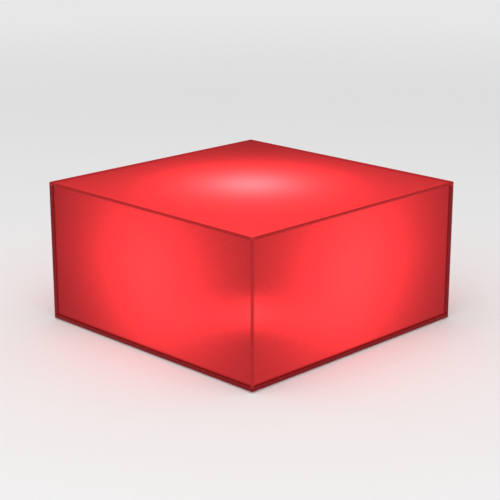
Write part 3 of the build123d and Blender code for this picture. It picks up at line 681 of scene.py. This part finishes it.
# ---- Leads ----
# Stranded copper in soft sleeves: black and red from the battery, grey up to the boards,
# and short black jumpers from board to board over the post's corners.
lead_finishes = {
    "black sleeve": ((0.012, 0.012, 0.012, 1.0), (0.035, 0.035, 0.035, 1.0)),
    "red sleeve": ((0.36, 0.012, 0.012, 1.0), (0.50, 0.025, 0.022, 1.0)),
    "grey sleeve": ((0.24, 0.24, 0.25, 1.0), (0.34, 0.34, 0.35, 1.0)),
}
lead_nodes = {
    "black sleeve": ("battery_lead_negative", "board_jumpers"),
    "red sleeve": ("battery_lead_positive",),
    "grey sleeve": ("led_lead",),
}
for name, (darker, lighter) in lead_finishes.items():
    lead = grained(name, darker, lighter, roughness=0.42, grains=1300.0, depth=0.00001)
    dress(lead, *lead_nodes[name])

# ---- Light post ----
# A square drawn aluminium tube with a flat cap, which carries the boards and takes their heat.
# The drawing has left long fine lines up its walls.
post_darker = (0.60, 0.60, 0.62, 1.0)
post_lighter = (0.80, 0.80, 0.81, 1.0)
post_roughness = (0.26, 0.46)
post_lines_per_metre = 5000.0
post_line_depth = 0.000006
post_line_squeeze = (1.0, 1.0, 0.02)  # draws the grain out into lines up the walls

post_material, tree, shader = new_material("drawn aluminium", metallic=1.0)
squeeze = tree.nodes.new("ShaderNodeVectorMath")
squeeze.operation = "MULTIPLY"
tree.links.new(object_point(tree), squeeze.inputs[0])
squeeze.inputs[1].default_value = post_line_squeeze
drawn_point = squeeze.outputs[0]
grain = place_group(tree, grain_group, Point=drawn_point, Grains_Per_Metre=post_lines_per_metre)
tree.links.new(mix_colours(tree, grain["Tone"], post_darker, post_lighter), shader.inputs["Base Color"])
grain["Tone"].between(*post_roughness).feed(shader.inputs["Roughness"])
relief(tree, shader, grain["Height"], post_line_depth)
dress(post_material, "led_post", "post_cap")

# ---- LED boards, pads and LEDs ----
# Aluminium-backed boards with white solder mask, each on a soft blue-grey pad against the post.
# Their red LEDs are lit.
led_board_darker = (0.80, 0.80, 0.77, 1.0)
led_board_lighter = (0.90, 0.90, 0.88, 1.0)
pad_darker = (0.26, 0.31, 0.40, 1.0)
pad_lighter = (0.36, 0.42, 0.52, 1.0)
led_body = (0.80, 0.30, 0.25, 1.0)
led_lit = (1.0, 0.12, 0.10, 1.0)
led_rim = (0.80, 0.03, 0.03, 1.0)
led_grains = 2600.0
led_roughness = 0.25

led_boards = grained(
    "white solder mask",
    led_board_darker,
    led_board_lighter,
    roughness=0.36,
    grains=1700.0,
    depth=0.000012,
)
dress(
    led_boards,
    "led_board_front",
    "led_board_right",
    "led_board_rear",
    "led_board_left",
    "led_board_top",
)
pads = grained(
    "soft thermal pad",
    pad_darker,
    pad_lighter,
    roughness=0.8,
    grains=2000.0,
    depth=0.00003,
    specular=0.25,
)
dress(pads, "thermal_pads")
led_material, tree, shader = new_material("lit red LED")
grain = place_group(tree, grain_group, Point=object_point(tree), Grains_Per_Metre=led_grains)
tree.links.new(mix_colours(tree, grain["Tone"], led_rim, led_lit), shader.inputs["Emission Color"])
shader.inputs["Emission Strength"].default_value = 1.0
shader.inputs["Base Color"].default_value = led_body
shader.inputs["Roughness"].default_value = led_roughness
dress(led_material, "side_leds", "top_leds")

# ---- Milky core ----
# The inner box of satin, light-scattering plastic, lit red from within by the boards on its post.
# Its glow is painted on as emission, patterned by position, with painted shade along its edges.
# It is moulded in one piece, and stands on the base with a thin air gap to the clear shell.
core_low, core_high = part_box("diffuser_core")
core_half = core_high.x
core_height = core_high.z - core_low.z
core_lit_red = (0.020, 0.0015, 0.0015, 1.0)
core_brightest = 7.0
core_dim = (0.0, 0.0100, 0.0115, 1.0)
core_full = (1.03, 0.0480, 0.0535, 1.0)
core_hot = (1.03, 0.272, 0.302, 1.0)
# Painted shade: a darker red line along the foot and the upright edges
core_edge_shade_red = (0.150, 0.0040, 0.0035, 1.0)
core_upright_shade = (0.0004, 0.0030)
core_foot_shade = (0.0003, 0.0026)
core_top_skin = 0.0003  # no line runs nearer to the top than this
core_roughness = (0.5, 0.64)
core_grains = 460.0
core_grain = 0.2
core_grain_depth = 0.000015

# The top's glow is painted: a hot spot over its board, and a painted highlight that grows lighter
# towards one corner. It is told from the sides by its height. Lengths on the top are shares of half its
# side.
top_share = 0.999
top_level = 0.501
top_slope = 0.384
top_curve = 0.174
hot_spot_width = 0.42
hot_spot_power = -1.784
hot_spot_peak = 6.371

# Each side has a broad painted hump of glow before its own board, and a painted bright streak that
# starts at half height on one upright edge and fades as it sinks away from it. For the front and right
# that edge is at the top's lighter corner, and for the back and left at the opposite one. Lengths on a
# side are shares of its width, from that edge, and of its height. Of each pair of numbers, the first is
# for the front and back, and the second for the right and left.
corner_level = (0.424, 0.468)
width_slope = 0.115
height_slope = 0.024
hump_peak = (1.210, 1.300)
hump_place = 0.492
hump_width = 0.336
hump_power = 1.737
hump_base = 0.076
hump_height = 0.57
hump_height_power = 1.56
hump_height_drop = 1.458
streak_peak = (0.939, 0.989)
streak_length = (0.208, 0.198)
streak_height = 0.511
streak_slope = 0.657
streak_width = 0.109
streak_spread = 0.128

glow_group, entering, leaving = new_group(
    "Glow of the core", [("Point", "Vector")], [("Brightness", "Float")]
)
x, y, z = split_point(glow_group, entering["Point"])
x = x / core_half
y = y / core_half
z = (z - core_low.z) / core_height
to_corner = (x - y) * 0.5
hot_spot = ((x * x + y * y) / hot_spot_width**2 + 1.0) ** hot_spot_power * hot_spot_peak
top_glow = hot_spot + to_corner * top_slope + to_corner * to_corner * top_curve + top_level
right_or_left = x.size().above(y.size())
from_corner = (x * y + 1.0) * 0.5
from_hump = ((from_corner - hump_place) / hump_width).size() ** hump_power
hump = (from_hump * -1.0).exponential() * right_or_left.between(*hump_peak)
height_fall = 1.0 - (z - hump_height).size() ** hump_height_power * hump_height_drop
streak = from_corner * streak_slope + z - streak_height
streak = streak.bell(from_corner * streak_spread + streak_width)
streak = streak * (from_corner * -1.0 / right_or_left.between(*streak_length)).exponential()
side_glow = (hump - hump_base) * height_fall + right_or_left.between(*corner_level)
side_glow = side_glow - from_corner * width_slope + (z - hump_height) * height_slope
side_glow = side_glow + streak * right_or_left.between(*streak_peak)
z.above(top_share).between(side_glow, top_glow).feed(leaving["Brightness"])

core_material, tree, shader = new_material("lit milky plastic", specular=0.0)
point = object_point(tree)
x, y, z = split_point(tree, point)
glow = place_group(tree, glow_group, Point=point)["Brightness"]
grain = place_group(tree, grain_group, Point=point, Grains_Per_Metre=core_grains)
glow = glow * ((grain["Height"] - 0.5) * core_grain + 1.0)
ramp = tree.nodes.new("ShaderNodeValToRGB")
ramp.color_ramp.elements[0].color = core_dim
ramp.color_ramp.elements[1].color = core_hot
ramp.color_ramp.elements.new(1.0 / core_brightest).color = core_full
(glow / core_brightest).feed(ramp.inputs["Fac"])
# Painted shade: each side darkens at its foot, and towards the upright edges away from the bright
# corners
to_upright = (core_half - x.size()).larger(core_half - y.size())
shaded_corner = (x * y / core_half**2 + 1.0) * 0.5
edge_shade = to_upright.fall(*core_upright_shade) * shaded_corner
edge_shade = edge_shade.larger((z - core_low.z).fall(*core_foot_shade))
edge_shade = edge_shade * (1.0 - z.above(core_high.z - core_top_skin))
core_light = mix_colours(tree, edge_shade, ramp.outputs["Color"], core_edge_shade_red)
tree.links.new(core_light, shader.inputs["Emission Color"])
shader.inputs["Emission Strength"].default_value = 1.0
shader.inputs["Base Color"].default_value = core_lit_red
grain["Tone"].between(*core_roughness).feed(shader.inputs["Roughness"])
relief(tree, shader, grain["Height"], core_grain_depth)
dress(core_material, "diffuser_core")

# ---- Clear shell ----
# Five walls of clear polycarbonate moulded in one piece, polished outside, bonded to the base plate.
# The core shows through them. Past its edges the walls carry a painted dim red glow, with darker
# painted shade bands along their foot, top and upright edges, and a brighter painted glow on a far
# wall's outer face, seen from behind.
shell_low, shell_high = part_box("outer_shell")
shell_half = shell_high.x
shell_height = shell_high.z - shell_low.z
shell_base = (0.020, 0.001, 0.001, 1.0)
shell_roughness = (0.03, 0.12)
shell_smears = 240.0
shell_skin = 0.0005  # a point deeper in the wall than this is on its inner face
shell_face_skin = 0.0001  # and one nearer to the foot or the top than this is on that face
shell_face_alpha = 0.012
# Painted glow: a dim red light on the walls past the core's edges, and a brighter one on the far walls
# seen from behind
shell_wall_glow = (0.205, 0.0170, 0.0215, 1.0)
# Painted shade: darker red bands along the foot, the top and the upright edges, laid nearly opaque over
# the core
shell_foot_shade = (0.158, 0.0020, 0.0050, 1.0)
shell_foot_band = (0.0021, 0.0026)
shell_top_shade = (0.275, 0.0, 0.0, 1.0)
shell_top_band = (0.0012, 0.0026)
shell_top_alpha = 0.80
shell_corner_shade = (0.437, 0.0095, 0.0105, 1.0)
shell_corner_band = (0.0002, 0.0024)
shell_corner_alpha = 0.79
shell_streak_shade = (0.335, 0.0, 0.0, 1.0)  # at the height where the core's streak ends
shell_streak_place = 0.5  # of the shell's height, like the width
shell_streak_width = 0.17
shell_back_glow = (0.560, 0.0300, 0.0335, 1.0)  # of a far wall's outer face, seen from behind
shell_back_band = (0.0030, 0.0040)
shell_back_top_glow = (0.430, 0.0220, 0.0260, 1.0)
shell_back_corner_glow = (0.340, 0.0200, 0.0230, 1.0)
shell_back_corner_power = 4.0

shell_material, tree, shader = new_material("clear polycarbonate", specular=0.15)
point = object_point(tree)
x, y, z = split_point(tree, point)
from_top = shell_high.z - z
above_foot = z - shell_low.z
depth = (shell_half - x.size().larger(y.size())).smaller(from_top)
foot_face = 1.0 - above_foot.above(shell_face_skin)
outer_face = (1.0 - depth.above(shell_skin)).larger(foot_face)
side_face = from_top.above(shell_face_skin)
behind = Level(tree, tree.nodes.new("ShaderNodeNewGeometry").outputs["Backfacing"])
to_upright = (shell_half - x.size()).larger(shell_half - y.size())
# Masks for the painted shade bands at the foot, the top and the upright edges
foot_band = above_foot.fall(*shell_foot_band)
top_band = from_top.fall(*shell_top_band) * side_face
corner_band = to_upright.fall(*shell_corner_band) * side_face
alpha = (top_band * shell_top_alpha).larger(corner_band * shell_corner_alpha)
alpha = alpha.larger(shell_face_alpha)
(foot_band.larger(behind).larger(alpha) * outer_face).feed(shader.inputs["Alpha"])
bright_corner = 0.5 - x * y / (2 * shell_half**2)
light = mix_colours(tree, top_band, shell_wall_glow, shell_top_shade)
at_streak = (above_foot / shell_height - shell_streak_place).bell(shell_streak_width)
corner_shade = mix_colours(tree, at_streak, shell_corner_shade, shell_streak_shade)
light = mix_colours(tree, corner_band * bright_corner, light, corner_shade)
# Painted glow on a far wall's outer face, seen from behind through the near wall
back_light = mix_colours(tree, top_band, shell_back_glow, shell_back_top_glow)
at_back_corner = bright_corner**shell_back_corner_power
back_light = mix_colours(tree, at_back_corner, back_light, shell_back_corner_glow)
back_band = from_top.fall(*shell_back_band)
back_light = mix_colours(tree, back_band, shell_wall_glow, back_light)
light = mix_colours(tree, behind, light, back_light)
light = mix_colours(tree, foot_band, light, shell_foot_shade)
tree.links.new(light, shader.inputs["Emission Color"])
shader.inputs["Emission Strength"].default_value = 1.0
shader.inputs["Base Color"].default_value = shell_base
smears = place_group(tree, grain_group, Point=point, Grains_Per_Metre=shell_smears)
smears["Tone"].between(*shell_roughness).feed(shader.inputs["Roughness"])
dress(shell_material, "outer_shell")

# ---- Floor, light and camera ----
# A pale matt floor that is seen from above only and fades into a pale surround, and one large soft
# lamp overhead. The camera looks at the block's corner from the photograph's side, with a long lens.
floor_half = 2.0
floor_cells = 8
floor_fade = (0.5, 1.8)
floor_pale = (0.86, 0.86, 0.86, 1.0)
floor_paler = (0.88, 0.88, 0.88, 1.0)
floor_clouds_per_metre = 9.0
floor_cloud_detail = 2.0
floor_roughness = 0.9
surround_pale = (0.80, 0.80, 0.80, 1.0)
surround_light = (0.62, 0.62, 0.62, 1.0)
lamp_place = Vector((0.5, -0.7, 1.6))
lamp_size = 2.4
lamp_power = 20.0
side_length = shell_half * 2
camera_azimuth = math.radians(44.80)
camera_elevation = math.radians(16.58)
camera_distance = 4.945 * side_length
camera_target = Vector((0.0, 0.0, shell_low.z + 0.249 * side_length))
camera_lens = 100.6
camera_sensor = 36.0
camera_shift = (-0.00306, 0.001)


def seen_directly(tree):
    """1 for a ray from the camera, off gloss or through glass, and 0 for scattered light."""
    rays = tree.nodes.new("ShaderNodeLightPath").outputs
    seen = Level(tree, rays["Is Camera Ray"]).larger(Level(tree, rays["Is Glossy Ray"]))
    return seen.larger(Level(tree, rays["Is Transmission Ray"]))


shape = bmesh.new()
bmesh.ops.create_grid(shape, x_segments=floor_cells, y_segments=floor_cells, size=floor_half)
floor = bpy.data.objects.new("floor", bpy.data.meshes.new("floor"))
shape.to_mesh(floor.data)
shape.free()
bpy.context.scene.collection.objects.link(floor)
floor_material, tree, shader = new_material("pale matt floor", specular=0.1)
point = object_point(tree)
mottle = noise(tree, point, floor_clouds_per_metre, floor_cloud_detail)
tree.links.new(mix_colours(tree, mottle, floor_pale, floor_paler), shader.inputs["Base Color"])
shader.inputs["Roughness"].default_value = floor_roughness
x, y, z = split_point(tree, point)
near = flat_distance(x, y).fall(*floor_fade)
below = Level(tree, tree.nodes.new("ShaderNodeNewGeometry").outputs["Backfacing"])
(seen_directly(tree) * (1.0 - below) * near).feed(shader.inputs["Alpha"])
floor.data.materials.append(floor_material)

world = bpy.data.worlds.new("pale surround")
bpy.context.scene.world = world
world.use_nodes = True
tree = world.node_tree
surround = mix_colours(tree, seen_directly(tree), surround_light, surround_pale)
tree.links.new(surround, tree.nodes["Background"].inputs["Color"])
tree.nodes["Background"].inputs["Strength"].default_value = 1.0

lamp = bpy.data.objects.new("soft lamp", bpy.data.lights.new("soft lamp", "AREA"))
lamp.data.energy = lamp_power
lamp.data.size = lamp_size
lamp.location = lamp_place
lamp.rotation_euler = (-lamp_place).to_track_quat("-Z", "Y").to_euler()
bpy.context.scene.collection.objects.link(lamp)

camera = bpy.data.objects.new("camera", bpy.data.cameras.new("camera"))
direction = Vector(
    (
        math.sin(camera_azimuth) * math.cos(camera_elevation),
        -math.cos(camera_azimuth) * math.cos(camera_elevation),
        math.sin(camera_elevation),
    )
)
camera.location = camera_target + direction * camera_distance
camera.rotation_euler = (-direction).to_track_quat("-Z", "Y").to_euler()
camera.data.lens = camera_lens
camera.data.sensor_width = camera_sensor
camera.data.shift_x, camera.data.shift_y = camera_shift
bpy.context.scene.collection.objects.link(camera)
bpy.context.scene.camera = camera
bpy.context.scene.view_settings.view_transform = "Standard"
